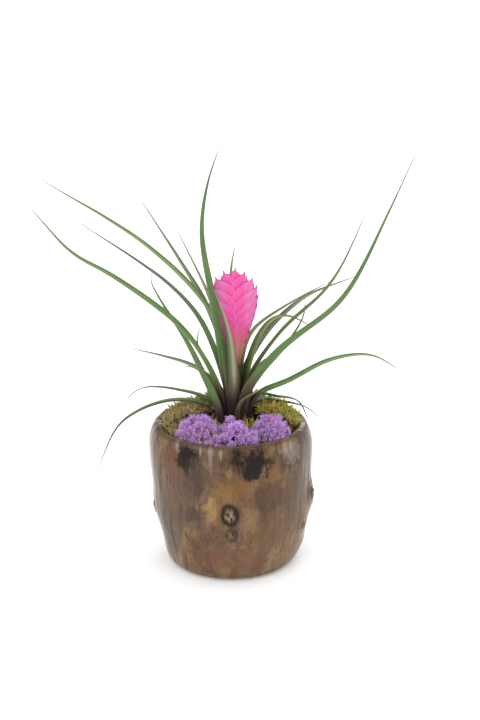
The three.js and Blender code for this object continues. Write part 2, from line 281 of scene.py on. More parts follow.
# The log's eyes: direction in degrees, height, half width, half height, how deeply the eye is
# carved, and how far the log swells round it, in mm.
KNOTS = (
    (269, 63 * MM, 7.2 * MM, 10.0 * MM, 1.0, 0.2),
    (270, 45.5 * MM, 5.0 * MM, 6.4 * MM, 0.45, 0.3),
    (352, 60 * MM, 5.0 * MM, 7.5 * MM, 0.8, 2.0),
    (340, 36 * MM, 6.0 * MM, 6.5 * MM, 0.4, 1.6),
    (186, 47 * MM, 6.0 * MM, 9.5 * MM, 0.5, 1.0),
    (118, 70 * MM, 7.5 * MM, 9.0 * MM, 1.0, 0.8),
    (60, 34 * MM, 4.4 * MM, 6.0 * MM, 0.7, 0.8),
)


def clamped(number):
    """The number, kept from 0 to 1."""
    return max(0, min(1, number))


def knot_shape(direction, height):
    """How far the knots push the log's surface out or in, and how dark and how pale it is there."""
    relief, dark, pale = 0.0, 0.0, 0.0
    for knot_direction, knot_height, half_width, half_height, depth, swelling in KNOTS:
        turn = (direction - math.radians(knot_direction) + math.pi) % (2 * math.pi) - math.pi
        across = turn * POT_RADIUS / half_width
        up = (height - knot_height) / half_height
        wobble = 0.12 * noise.noise(Vector((across, up, knot_direction)))
        away = math.hypot(across, up) * (1 + wobble)
        if away > 3:
            continue
        lumps = noise.noise(Vector((across * 3.1, up * 3.1, knot_direction + 4)))
        lip = 0.35 * math.exp(-((away - 1.15) / 0.25) ** 2)
        groove = -1.5 * math.exp(-((away - 0.78) / 0.2) ** 2)
        middle = (0.2 + 2.6 * lumps) * math.exp(-((away / 0.6) ** 4))
        relief += depth * (lip + groove + middle) + swelling * math.exp(-((away / 1.4) ** 2))
        groove_dark = math.exp(-((away - 0.78) / 0.24) ** 2)
        hollow_dark = (away < 0.6) * max(0, -4 * lumps)
        dark = max(dark, depth * groove_dark, depth * hollow_dark)
        pale = max(pale, depth * clamped(3.5 * lumps) * math.exp(-((away / 0.5) ** 4)))
    return relief * MM, min(1, dark), pale


def bark_relief(direction, height):
    """How far the bark's grain stands out: broad flutes, long ridges, and narrow splits."""
    around = Vector((math.cos(direction), math.sin(direction), 0)) * POT_RADIUS
    flutes = noise.noise(Vector((around.x * 45, around.y * 45, height * 7)))
    ridges = noise.fractal(Vector((around.x * 190, around.y * 190, height * 16)), 0.8, 2.2, 3)
    splits = abs(noise.noise(Vector((around.x * 120 + 9, around.y * 120, height * 11 + 5))))
    where_split = noise.noise(around * 30 + Vector((0, 0, height * 30))) + 0.3
    split_depth = max(0.0, 1 - splits / 0.07) * max(0.0, where_split)
    return (0.9 * flutes + 0.28 * ridges - 0.6 * split_depth) * MM


def select_faces(piece, wanted):
    """Selects a piece's faces by their place, and leaves the piece in edit mode."""
    bpy.context.view_layer.objects.active = piece
    bpy.ops.object.mode_set(mode="EDIT")
    bpy.ops.mesh.select_mode(type="FACE")
    bpy.ops.mesh.select_all(action="DESELECT")
    bpy.ops.object.mode_set(mode="OBJECT")
    for face in piece.data.polygons:
        face.select = wanted(face)
    bpy.ops.object.mode_set(mode="EDIT")


def skin_from(height, low_down):
    """The radius past which the log's outer skin lies: it draws in low down on the pot."""
    return low_down if height < 30 * MM else RIM_INNER


def on_outside(face):
    """Whether a face is on the log's outer skin, and not under the pot."""
    middle = face.center
    return middle.z > 1 * MM and math.hypot(middle.x, middle.y) > skin_from(middle.z, 51 * MM)


pot = copy_of_node("pot", "log_pot")
smooth_by_subdivision(pot, 2)
select_faces(pot, on_outside)
bpy.ops.mesh.subdivide(number_cuts=1, smoothness=0)
bpy.ops.object.mode_set(mode="OBJECT")

grain_heights, knot_darks, knot_pales = [], [], []
for vertex in pot.data.vertices:
    place = vertex.co
    radius = math.hypot(place.x, place.y)
    amount = clamped((radius - skin_from(place.z, 50 * MM)) / (2 * MM)) * min(1, place.z / (6 * MM))
    direction = math.atan2(place.y, place.x)
    bark = bark_relief(direction, place.z)
    knots, dark, pale = knot_shape(direction, place.z)
    outward = Vector((place.x, place.y, 0)).normalized()
    rim_share = clamped((place.z - RIM_FROM) / (10 * MM))
    rim_wave = noise.noise(Vector((place.x * 34, place.y * 34, 3))) + 0.4 * noise.noise(place * 110)
    upper_half = clamped((place.z - BULGE_FROM) / (30 * MM))
    bulge = amount * upper_half * outward.x ** 2 * (BULGE_LEFT if outward.x < 0 else BULGE_RIGHT)
    thick_rim = -RIM_THICKENING * max(0, outward.x) ** 2 * rim_share * (radius < 59 * MM)
    lift = RIM_WAVE * rim_wave * rim_share
    vertex.co = place + outward * (amount * (bark + knots) + bulge + thick_rim) + Vector((0, 0, lift))
    grain_heights.append(0.5 + amount * bark / (2.4 * MM))
    knot_darks.append(amount * dark)
    knot_pales.append(amount * pale)
store(pot, "grain_height", grain_heights)
store(pot, "knot_dark", knot_darks)
store(pot, "knot_pale", knot_pales)

glaze, glaze_surface = new_paint(
    "log_glaze", Coat_Weight=0.45, Coat_Roughness=0.06, Coat_IOR=1.3, IOR=1.45, Specular_IOR_Level=0.1)
place_on_pot = place_on_piece(glaze)


def stretched(paint, vector, shift, squeeze):
    """Places shifted and squeezed upwards, so that a cloud becomes streaks that run down."""
    settings = {"Vector": vector, "Location": (shift, 0.7 * shift, 0.3 * shift), "Scale": (1, 1, squeeze)}
    return add_node(paint, "Mapping", inputs=settings).outputs["Vector"]


streaks = noise_of(glaze, stretched(glaze, place_on_pot, 0, 0.3), 60, 6, 0.5, 0.62)
glaze_colour = ramp(
    glaze, streaks,
    (0.26, srgb(74, 55, 41)),
    (0.4, srgb(94, 71, 51)),
    (0.5, srgb(108, 83, 59)),
    (0.6, srgb(122, 96, 68)),
    (0.76, srgb(142, 117, 86)),
)
RUN_SPAN = (24 * MM, 24 * MM, 36 * MM)  # how far the melted glaze has run this way and that
runs = add_node(
    glaze, "TexNoise", inputs={"Vector": place_on_pot, "Scale": 75, "Detail": 4, "Roughness": 0.65})
run_shift = vector_math_of(
    glaze, "MULTIPLY_ADD", runs.outputs["Color"], RUN_SPAN, [-span / 2 for span in RUN_SPAN])["Vector"]
run_place = vector_math_of(glaze, "ADD", place_on_pot, run_shift)["Vector"]
for shift, scale, low, high, strength, colour in (  # broad pools of one glaze in another
    (0.0, 24, 0.5, 0.66, 0.6, srgb(132, 102, 64)),
    (0.3, 30, 0.54, 0.68, 0.55, srgb(118, 78, 58)),
    (0.7, 20, 0.5, 0.66, 0.7, srgb(96, 78, 68)),
    (1.3, 38, 0.56, 0.7, 0.7, srgb(62, 46, 38)),
    (1.9, 34, 0.58, 0.7, 0.5, srgb(140, 124, 106)),
):
    pool = noise_of(glaze, stretched(glaze, run_place, shift, 0.45), scale, 4, 0.7)
    glaze_colour = tint(glaze, glaze_colour, colour, limits(glaze, pool, low, high), strength)
mottle = noise_of(glaze, stretched(glaze, run_place, 2.3, 0.6), 130, 5, 0.4, 0.6)
glaze_colour = tint(glaze, glaze_colour, srgb(66, 50, 42), limits(glaze, mottle, 0.5, 0.34), 0.55)
glaze_colour = tint(glaze, glaze_colour, srgb(148, 120, 82), limits(glaze, mottle, 0.52, 0.68), 0.35)
wander = noise_of(glaze, stretched(glaze, place_on_pot, 0.2, 0.25), 190, 5, 0.5, 0.65)
for colour, centre, half_sizes, strength in (  # single pools, and patches of painted shade and painted reflection: centre and half sizes in mm
    (srgb(128, 94, 50), (-5, -62, 76), (17, 26, 26), 0.75),
    (srgb(160, 126, 82), (-18, -60, 66), (9, 24, 17), 0.7),
    (srgb(116, 80, 40), (6, -62, 86), (16, 26, 20), 0.75),
    (srgb(122, 84, 54), (34, -57, 93), (13, 26, 20), 0.8),
    (srgb(108, 66, 42), (-46, -42, 96), (14, 26, 26), 0.8),
    (srgb(28, 15, 10), (16, -62, 107), (32, 34, 20), 1.0),
    (srgb(24, 13, 9), (18, -62, 102), (17, 34, 15), 0.95),
    (srgb(32, 18, 12), (-36, -52, 108), (14, 26, 18), 1.0),
    (srgb(48, 34, 26), (-30, -56, 94), (13, 26, 24), 0.6),
    (srgb(44, 34, 28), (47, -42, 104), (13, 26, 18), 0.7),
    (srgb(70, 56, 48), (0, -62, 44), (9, 24, 13), 0.6),
    (srgb(74, 60, 54), (-32, -53, 58), (22, 30, 17), 0.75),
    (srgb(114, 78, 62), (8, -60, 22), (50, 30, 22), 0.6),
    (srgb(20, 13, 11), (20, 58, 105), (28, 30, 17), 1.0),
    (srgb(130, 74, 36), (-22, 58, 94), (20, 26, 24), 0.8),
    (srgb(140, 98, 50), (14, 60, 66), (22, 26, 28), 0.75),
    (srgb(22, 15, 12), (-62, 10, 106), (30, 20, 17), 1.0),
    (srgb(126, 72, 36), (60, 22, 92), (30, 18, 20), 0.8),
    (srgb(24, 16, 13), (62, -6, 106), (30, 17, 15), 0.9),
    (srgb(80, 58, 42), (31, -56, 74), (26, 30, 26), 0.8),
    (srgb(88, 68, 54), (52, -38, 66), (20, 30, 44), 0.65),
    (srgb(94, 72, 52), (32, -54, 42), (28, 30, 30), 0.5),
    (srgb(84, 66, 54), (-50, -38, 50), (22, 30, 44), 0.55),
    (srgb(86, 66, 58), (-38, -50, 82), (24, 30, 24), 0.6),
    # painted shade: this entry and the next darken the pot's left side
    (srgb(70, 52, 42), (-62, -14, 96), (26, 24, 50), 0.65),
    (srgb(80, 62, 50), (-54, -28, 30), (22, 26, 30), 0.5),
    (srgb(74, 56, 48), (58, -26, 114), (18, 24, 12), 0.5),
    # painted reflection: a pale grey patch below the rim on the front right
    (srgb(160, 144, 134), (47, -44, 108), (11, 34, 13), 0.45),
):
    reach = spot(glaze, run_place, [c * MM for c in centre], [h * MM for h in half_sizes])
    frayed = math_of(glaze, "ADD", reach, math_of(glaze, "SUBTRACT", wander, 0.5))
    glaze_colour = tint(glaze, glaze_colour, colour, limits(glaze, frayed, 0.06, 0.8), strength)
for direction, low_end, width in (  # painted highlights, pale streaks running down from the rim: degrees, then low end and width in mm
    (-105, 80, 1.9), (-97.5, 99, 1.1), (-113, 100, 1.0), (-47, 90, 2.4), (-41, 98, 1.2),
    (-133, 84, 1.5), (78, 84, 2.0),
):
    turn = math.radians(direction)
    highlight_streak_top = (POT_RADIUS * math.cos(turn), POT_RADIUS * math.sin(turn), RIM_HEIGHT)
    highlight_streak_size = (width * 2 * MM, width * 4 * MM, RIM_HEIGHT - low_end * MM)
    highlight_streak = math_of(glaze, "MULTIPLY", spot(glaze, place_on_pot, highlight_streak_top, highlight_streak_size), wander)
    glaze_colour = tint(glaze, glaze_colour, srgb(178, 160, 148), limits(glaze, highlight_streak, 0.08, 0.5), 0.45)
grain = noise_of(glaze, stretched(glaze, place_on_pot, 0, 0.22), 420, 4, 0.2, 0.6)
glaze_colour = tint(glaze, glaze_colour, srgb(56, 42, 34), limits(glaze, grain, 0.5, 0.3), 0.18)
glaze_colour = tint(glaze, glaze_colour, srgb(158, 138, 112), limits(glaze, grain, 0.54, 0.74), 0.14)
in_splits = limits(glaze, stored(glaze, "grain_height"), 0.36, 0.05)
glaze_colour = tint(glaze, glaze_colour, srgb(34, 24, 19), in_splits, 0.35)
glaze_colour = tint(glaze, glaze_colour, srgb(18, 13, 11), stored(glaze, "knot_dark"))
glaze_colour = tint(glaze, glaze_colour, srgb(136, 130, 110), stored(glaze, "knot_pale"))
on_rim = limits(glaze, axes_of(glaze, place_on_pot)["Z"], 115 * MM, RIM_HEIGHT)
glaze_colour = tint(glaze, glaze_colour, srgb(76, 52, 42), on_rim, 0.6)
link(glaze, glaze_colour, glaze_surface, "Base Color")
link(glaze, ramp(glaze, wander, (0.3, grey(0.13)), (0.7, grey(0.34))), glaze_surface, "Roughness")
add_bump(glaze, glaze_surface, 0.2, 0.5 * MM, grain)
finish_piece(pot, glaze, "pot_glaze", "pot")

# ---------------------------------------------------------------------------------------------
# Potting mix: composted bark and peat in fine crumbs, poured in round the plant and firmed by
# hand, so that it is heaped towards the crown.

mix_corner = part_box("potting_mix")[1]  # the highest one
CROWN_AXIS = Vector((2 * MM, 7 * MM, 0))
HEAP_TOP = 118  # mm, at the crown
HEAP_FALL = 9  # mm lower, 50 mm out from the crown
MIX_RINGS = 26
RING_STEP = 1.95 * MM
MIX_DEPTH = 30 * MM


def heap_height(x, y):
    """How high the heaped mix stands at a place inside the pot."""
    out = (Vector((x, y, 0)) - CROWN_AXIS).length
    lumps = 1.6 * noise.noise(Vector((x * 140, y * 140, 1)))
    lumps += 0.8 * noise.noise(Vector((x * 420, y * 420, 4)))
    return (HEAP_TOP - HEAP_FALL * (out / (50 * MM)) ** 2 + lumps) * MM


bpy.ops.object.select_all(action="DESELECT")
bpy.ops.mesh.primitive_circle_add(
    vertices=72, radius=mix_corner.x - 0.6 * MM, fill_type="NGON", location=(0, 0, mix_corner.z))
bark_mix = bpy.context.object
bark_mix.name = "bark_mix"
bpy.ops.object.mode_set(mode="EDIT")
for _ in range(MIX_RINGS):
    bpy.ops.mesh.inset(thickness=RING_STEP)
bpy.ops.mesh.poke()
bpy.ops.object.mode_set(mode="OBJECT")
bpy.ops.object.transform_apply(location=True, rotation=True, scale=True)
for vertex in bark_mix.data.vertices:
    radius = math.hypot(vertex.co.x, vertex.co.y)
    if radius < mix_corner.x - 1 * MM:
        vertex.co.z = heap_height(vertex.co.x, vertex.co.y)
bpy.ops.object.mode_set(mode="EDIT")
bpy.ops.mesh.select_mode(type="EDGE")
bpy.ops.mesh.select_all(action="DESELECT")
bpy.ops.mesh.select_non_manifold()
bpy.ops.mesh.extrude_region_move(TRANSFORM_OT_translate={"value": (0, 0, -MIX_DEPTH)})
bpy.ops.mesh.edge_face_add()
bpy.ops.mesh.select_all(action="SELECT")
bpy.ops.mesh.normals_make_consistent(inside=False)
bpy.ops.object.mode_set(mode="OBJECT")

peat, peat_surface = new_paint("peat_and_bark", Roughness=0.95)
crumbs = noise_of(peat, place_on_piece(peat), 600, 6, 0.3)
peat_colour = ramp(peat, crumbs, (0.3, srgb(20, 14, 11)), (0.55, srgb(44, 31, 23)), (0.75, srgb(84, 60, 42)))
link(peat, peat_colour, peat_surface, "Base Color")
add_bump(peat, peat_surface, 0.9, 1 * MM, crumbs)
finish_piece(bark_mix, peat, "potting_mix", "potting_mix")

# ---------------------------------------------------------------------------------------------
# Crown: the plant's short stem, dark and wrapped in the dry feet of old leaves. Its stub goes
# down into the mix, which holds it.

HUSK_FROM = 103 * MM  # the husks' bumps start above this height
crown = copy_of_node("crown", "leafy_crown")
smooth_by_subdivision(crown, 2)
for vertex in crown.data.vertices:
    if vertex.co.z > HUSK_FROM:
        bulge = noise.noise(Vector((vertex.co.x * 300, vertex.co.y * 300, vertex.co.z * 40)))
        vertex.co += (vertex.co - CROWN_AXIS).normalized() * bulge * 0.8 * MM
husk, husk_surface = new_paint("old_leaf_husk", Roughness=0.6)
fibres = noise_of(husk, stretched(husk, place_on_piece(husk), 0, 0.2), 300, 4)
husk_colour = ramp(husk, fibres, (0.3, srgb(34, 22, 22)), (0.6, srgb(66, 44, 38)), (0.8, srgb(96, 74, 56)))
link(husk, husk_colour, husk_surface, "Base Color")
finish_piece(crown, husk, "crown", "crown")

# ---------------------------------------------------------------------------------------------
# Leaves: narrow channelled blades of firm green tissue. They clasp the crown with a dark
# purple-brown foot, arch outwards, and run out in a thread-like tip.

CROWN_MIDDLE = CROWN_AXIS + Vector((0, 0, 115 * MM))
TIP_REACH = 1.2 * MM  # the last ring's vertices lie this near the very tip
TIP_STRETCH = 0.62  # the last ring goes this much further on, in steps between rings
TIP_WIDTH = 0.75
MARGIN_CREASE = 0.85
RIPPLE = 0.35 * MM


def rings_of(blade):
    """The blade's cross sections, from foot to tip, each a list of vertices of an open bmesh."""
    tip = max(blade.verts, key=lambda v: (v.co - CROWN_MIDDLE).length)
    ring = {v for v in blade.verts if (v.co - tip.co).length < TIP_REACH}
    rings = []
    seen = set()
    while ring:
        rings.append(sorted(ring, key=lambda v: v.index))
        seen |= ring
        ring = {e.other_vert(v) for v in ring for e in v.link_edges} - seen
    return rings[::-1]


def widest_pair(ring):
    """The two vertices of a ring that lie furthest apart: the blade's margins."""
    pairs = [(a, b) for i, a in enumerate(ring) for b in ring[i + 1:]]
    return max(pairs, key=lambda pair: (pair[0].co - pair[1].co).length)


def model_blade(blade, seed, width, tip_shift):
    """Marks where each vertex lies on the blade, sets its width, margins and tip, and lets it ripple."""
    shape = bmesh.new()
    shape.from_mesh(blade.data)
    shape.verts.ensure_lookup_table()
    along, across, upper = (shape.verts.layers.float.new(n) for n in ("along", "across", "upper"))
    crease = shape.edges.layers.float.new("crease_edge")
    rings = rings_of(shape)
    side = Vector((1, 0, 0))
    for step, ring in enumerate(rings):
        at_tip = step == len(rings) - 1
        share = step / (len(rings) - 1)
        margin, other_margin = widest_pair(ring)
        towards = (other_margin.co - margin.co).normalized()
        if towards.dot(side) < 0:
            margin, other_margin, towards = other_margin, margin, -towards
        side = towards
        half = (other_margin.co - margin.co).length / 2
        middle = sum((v.co for v in ring), Vector()) / len(ring)
        chord = (margin.co + other_margin.co) / 2
        face = (chord - middle - side * (chord - middle).dot(side)).normalized()
        if at_tip:
            forward = side.cross(face)
            for v in ring:
                v.co += forward * forward.dot(middle - last_middle) * TIP_STRETCH
        last_middle = middle
        for edge in {e for v in (margin, other_margin) for e in v.link_edges}:
            if edge.calc_length() > 1.6 * half:
                edge[crease] = MARGIN_CREASE
        ripple = RIPPLE * noise.noise(Vector((share * 9, seed, 0))) * min(1, share * 6)
        fuller = width * (1.05 + 0.2 * math.sin(math.pi * min(1, share * 1.08) ** 1.6))
        for v in ring:
            off = v.co - middle
            v[along] = share
            v[across] = off.dot(side) / half
            level = off.dot(face) / half - 0.11
            # The hollow side of the blade lies above a shallow V.
            v[upper] = 1.0 if level > -0.37 + 0.33 * abs(v[across]) else 0.0
            v.co = middle + off * (TIP_WIDTH if at_tip else fuller)
            v.co += face * ripple * (1 + 0.6 * v[across])
            v.co += tip_shift * share ** 3
    shape.to_mesh(blade.data)
    shape.free()


def leaf_paint(name, greens, foot_reach, dryness, purple_margin=0.0, margin_colour=(48, 66, 40)):
    """A leaf's finish: dark foot, green blade with fine lengthwise lines, a paler channel that is a painted
    highlight on most leaves and the leaf's own yellowish tone where the margin is purple, dry tip.
    """
    paint, surface = new_paint(name, IOR=1.45, Sheen_Weight=0.08, Sheen_Roughness=0.5)
    along, across, upper = (stored(paint, mark) for mark in ("along", "across", "upper"))
    off_middle = math_of(paint, "ABSOLUTE", across)
    place = place_on_piece(paint)
    stretched_along = math_of(paint, "MULTIPLY", along, 1.2)
    lines_at = add_node(paint, "CombineXYZ", inputs={"X": across, "Y": stretched_along})
    lines = noise_of(paint, lines_at.outputs["Vector"], 7, 5, 0.0, 0.65)
    cloud = noise_of(paint, place, 60, 4)
    deep, middle, pale = greens
    colour = ramp(paint, lines, (0.3, deep), (0.52, middle), (0.72, pale))
    colour = tint(paint, colour, pale, limits(paint, cloud, 0.45, 0.7), 0.4)
    lush = limits(paint, along, 0.75, 0.3)
    colour = tint(paint, colour, srgb(90, 134, 36), lush, 0.4 - 0.3 * purple_margin)
    # Paler down the middle: with a purple margin this is the leaf's own yellowish tone; on the other leaves
    # it is a painted highlight along the hollow upper side.
    if purple_margin:
        channel = limits(paint, off_middle, 0.6, 0.25)
        channel_tone_and_highlight_colour = srgb(204, 192, 158)
    else:
        channel = math_of(paint, "MULTIPLY", upper, limits(paint, off_middle, 0.55, 0.05))
        channel_tone_and_highlight_colour = srgb(188, 190, 148)
    colour = tint(paint, colour, channel_tone_and_highlight_colour, channel, 0.38 + 0.42 * purple_margin)
    underside = limits(paint, upper, 0.5, 0.1)
    colour = tint(paint, colour, srgb(56, 76, 46), underside, 0.4)
    margins = limits(paint, off_middle, 0.6, 0.85)
    colour = tint(paint, colour, srgb(*margin_colour), margins, 0.3 + 0.6 * purple_margin)
    frayed = math_of(paint, "MULTIPLY", math_of(paint, "SUBTRACT", lines, 0.5), 0.25)
    foot_edge = math_of(paint, "ADD", along, frayed)
    brown_foot = limits(paint, foot_edge, foot_reach, foot_reach * 0.45)
    colour = tint(paint, colour, srgb(88, 74, 52), brown_foot)
    dark_foot = limits(paint, foot_edge, foot_reach * 0.6, foot_reach * 0.15)
    colour = tint(paint, colour, srgb(50, 30, 34), dark_foot)
    round_crown = spot(paint, place, CROWN_MIDDLE, (40 * MM, 40 * MM, 62 * MM))
    streaked = math_of(paint, "ADD", round_crown, math_of(paint, "MULTIPLY", lines, 1.8))
    colour = tint(paint, colour, srgb(56, 36, 38), limits(paint, streaked, 1.0, 1.6), 0.9)
    colour = tint(paint, colour, srgb(120, 92, 52), limits(paint, along, 1 - dryness, 1.0))
    link(paint, colour, surface, "Base Color")
    link(paint, ramp(paint, cloud, (0.3, grey(0.34)), (0.7, grey(0.5))), surface, "Roughness")
    add_bump(paint, surface, 0.4, 0.25 * MM, lines)
    return paint


fresh_greens = (srgb(66, 94, 40), srgb(92, 124, 58), srgb(124, 152, 84))
olive_greens = (srgb(76, 88, 42), srgb(104, 116, 58), srgb(138, 144, 88))
dusky_greens = (srgb(62, 82, 56), srgb(88, 110, 78), srgb(126, 144, 110))
fresh = leaf_paint("leaf_fresh", fresh_greens, 0.25, 0.05)
olive = leaf_paint("leaf_olive", olive_greens, 0.34, 0.07)
dusky = leaf_paint("leaf_dusky", dusky_greens, 0.2, 0.1)
pale_channel = leaf_paint("leaf_pale_channel", fresh_greens, 0.4, 0.12, 1.0, (86, 46, 62))
purple_foot = leaf_paint("leaf_purple_foot", olive_greens, 0.5, 0.3)
LEAF_FINISHES = {  # the rest are fresh
    "leaf_beside_flower": pale_channel, "leaf_front": purple_foot,
    "leaf_right_inner": olive, "leaf_right_arched": olive, "leaf_right_short": olive,
    "leaf_left_back": olive, "leaf_back_right": olive,
    "leaf_left_middle": dusky, "leaf_left_thin": dusky, "leaf_left_low": dusky, "leaf_left_rim": dusky,
    "leaf_left_rim_back": dusky, "leaf_left_curled": dusky, "leaf_right_far": dusky,
    "leaf_right_rim": dusky, "leaf_right_rim_back": dusky, "leaf_right_hooked": dusky,
}
LEAF_WIDTHS = {  # of the CAD blade's; the rest keep it
    "leaf_upright": 0.73, "leaf_left_long": 0.93, "leaf_left_middle": 0.92, "leaf_left_high": 0.82,
    "leaf_left_back": 0.8, "leaf_front": 0.62, "leaf_beside_flower": 1.2,
}
LEAF_TIP_SHIFTS = {  # this one bends in behind its neighbour
    "leaf_back_right": Vector((-10 * MM, -6 * MM, 6 * MM)),
}
leaf_nodes = sorted(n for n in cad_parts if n.startswith("leaf_"))
for number, node in enumerate(leaf_nodes):
    blade = copy_of_node(node, node.replace("leaf_", "blade_"))
    model_blade(blade, number * 3.7, LEAF_WIDTHS.get(node, 1.0), LEAF_TIP_SHIFTS.get(node, Vector()))
    smooth_by_subdivision(blade, 2)
    finish_piece(blade, LEAF_FINISHES.get(node, fresh), "leaf", node)

# ---------------------------------------------------------------------------------------------
# Flower stem and bracts: a stiff stalk, and two flat ranks of waxy folded bracts, hot pink with dusky
# tips, each clasping the foot of the next, with a painted sheen of paler lilac on their flanks.

stalk = copy_of_node("flower_stem", "flower_stalk")
smooth_by_subdivision(stalk, 2)


def even_share(paint, number, low, high):
    """0 where a number is below low, 1 where it is above high, and even between."""
    made = add_node(paint, "MapRange", inputs={"Value": number, "From Min": low, "From Max": high})
    return made.outputs["Result"]


stalk_skin, stalk_surface = new_paint("stalk_skin", Roughness=0.45)
up_stalk = even_share(stalk_skin, axes_of(stalk_skin, place_on_piece(stalk_skin))["Z"], 125 * MM, 185 * MM)
stalk_colour = ramp(
    stalk_skin, up_stalk, (0.0, srgb(84, 78, 54)), (0.45, srgb(116, 100, 70)), (0.8, srgb(142, 112, 78)))
link(stalk_skin, stalk_colour, stalk_surface, "Base Color")
finish_piece(stalk, stalk_skin, "flower_stem", "flower_stem")

SPIKE_FOOT = Matrix.Translation((4.5 * MM, 4 * MM, 167 * MM))
SPIKE_TURN = Matrix.Rotation(math.radians(-3), 4, "Y") @ Matrix.Rotation(math.radians(6), 4, "Z")
# One edge of the spike, in mm from its foot: a curve that these four points steer.
SPIKE_OUTLINE = [Vector(p) for p in ((5, 0, 6), (10, 0, 30), (37, 0, 64), (3, 0, 76.5))]
OUTLINE_STEPS = 400
SPIKE_PLACES = 10.4  # how many spacings from bract to bract the outline is long
BRACT_BODY = 0.86  # the rest of a bract's length is the narrow spur at the tip
BRACT_RANKS = (("left", -1, 9, 1.8), ("right", 1, 10, 1.35))  # rank, side, count, first tip's place
FLESH = 0.28 * MM


def on_curve(points, share):
    """A place on the curve that four points steer."""
    first, second, third, fourth = points
    rest = 1 - share
    near = rest ** 3 * first + 3 * rest * rest * share * second
    return near + 3 * rest * share * share * third + share ** 3 * fourth


outline_walk = [on_curve(SPIKE_OUTLINE, i / OUTLINE_STEPS) for i in range(OUTLINE_STEPS + 1)]
outline_run = [0.0]
for here, there in zip(outline_walk, outline_walk[1:]):
    outline_run.append(outline_run[-1] + (there - here).length)


def tip_on_outline(place):
    """A bract tip's place on the spike's outline, and the outline's direction there."""
    i = next(i for i, run in enumerate(outline_run) if run >= place * outline_run[-1])
    return outline_walk[i], (outline_walk[min(i + 1, OUTLINE_STEPS)] - outline_walk[i - 1]).normalized()


def model_bract(name, rank_side, index, first):
    """Shapes a grid into a folded bract, in mm: keel on the spike's edge, margins lapping past the axis."""
    tip, run = tip_on_outline((index + first) / SPIKE_PLACES)
    rise = 9 + 1.3 * tip.x
    if tip.z > 60:
        rise = max(20, rise)
    foot = Vector((2.4, 0, max(-2, tip.z - rise)))
    rise = tip.z - foot.z
    spur = Vector((0.16 * tip.x / 19, 0, 1)).normalized() * random.uniform(2.6, 3.8)
    keel = (foot, foot + Vector((0.06 * rise, 0, 0.25 * rise)), tip - run * 0.45 * rise, tip)
    shoulder = clamped((tip.z - 35) / 35)
    lap = 2.4 + 0.3 * tip.x + 2.5 * shoulder
    margin = (
        foot + Vector((0, 0, 0.4)),
        foot + Vector((-2.4 - lap, 0, 0.36 * rise)),
        Vector((0.12 * tip.x - 2 * shoulder, 0, foot.z + (0.76 + 0.28 * shoulder) * rise)),
        tip - Vector((1.9, 0, -0.2)),
    )
    bpy.ops.object.select_all(action="DESELECT")
    bpy.ops.mesh.primitive_grid_add(x_subdivisions=10, y_subdivisions=15, size=2)
    bract = bpy.context.object
    bract.name = name
    along = [1 - (0.5 - v.co.y / 2) ** 1.25 for v in bract.data.vertices]
    across = [v.co.x for v in bract.data.vertices]
    for vertex, share, out in zip(bract.data.vertices, along, across):
        body = min(1, share / BRACT_BODY)
        beyond = max(0, (share - BRACT_BODY) / (1 - BRACT_BODY))
        on_keel = on_curve(keel, body)
        place = on_keel.lerp(on_curve(margin, body), abs(out) * (1 - 0.85 * beyond)) + spur * beyond
        from_keel = (place - on_keel).length
        depth = 1.5 * (1 - math.exp(-from_keel / 4)) + 0.09 * from_keel
        depth -= 0.1 * max(0, -place.x)
        vertex.co = Vector((rank_side * place.x, math.copysign(depth, out) if out else 0, place.z))
    store(bract, "along", along)
    store(bract, "across", across)
    bpy.ops.object.mode_set(mode="EDIT")
    bpy.ops.mesh.select_all(action="SELECT")
    bpy.ops.mesh.remove_doubles(threshold=0.02)
    bpy.ops.mesh.normals_make_consistent(inside=False)
    bpy.ops.object.mode_set(mode="OBJECT")
    bract.data.transform(SPIKE_FOOT @ SPIKE_TURN @ Matrix.Scale(MM, 4))
    return bract


def shell_faces_outwards(bract, rank_side):
    """Whether the open shell's faces point away from the spike's axis."""
    middle = SPIKE_FOOT.translation
    outward = 0
    for face in bract.data.polygons:
        sideways = face.normal.x * rank_side * face.area
        outward += sideways + face.normal.y * math.copysign(face.area, face.center.y - middle.y)
    return outward > 0


wax, wax_surface = new_paint("pink_bract", Roughness=0.42, IOR=1.45, Coat_Weight=0.1, Coat_Roughness=0.3)
wax_place = place_on_piece(wax)
up_spike = even_share(wax, axes_of(wax, wax_place)["Z"], 168 * MM, 244 * MM)
bract_along = stored(wax, "along")
bract_across = stored(wax, "across")
off_keel = math_of(wax, "ABSOLUTE", bract_across)
veins_at = add_node(
    wax, "CombineXYZ", inputs={"X": bract_across, "Y": math_of(wax, "MULTIPLY", bract_along, 0.25)})
veins = noise_of(wax, veins_at.outputs["Vector"], 9, 4, 0.1)
wax_colour = ramp(
    wax, up_spike,
    (0.0, srgb(146, 122, 82)),
    (0.15, srgb(184, 128, 90)),
    (0.26, srgb(206, 100, 116)),
    (0.37, srgb(218, 78, 146)),
    (0.5, srgb(230, 74, 160)),
    (0.8, srgb(236, 84, 166)),
)
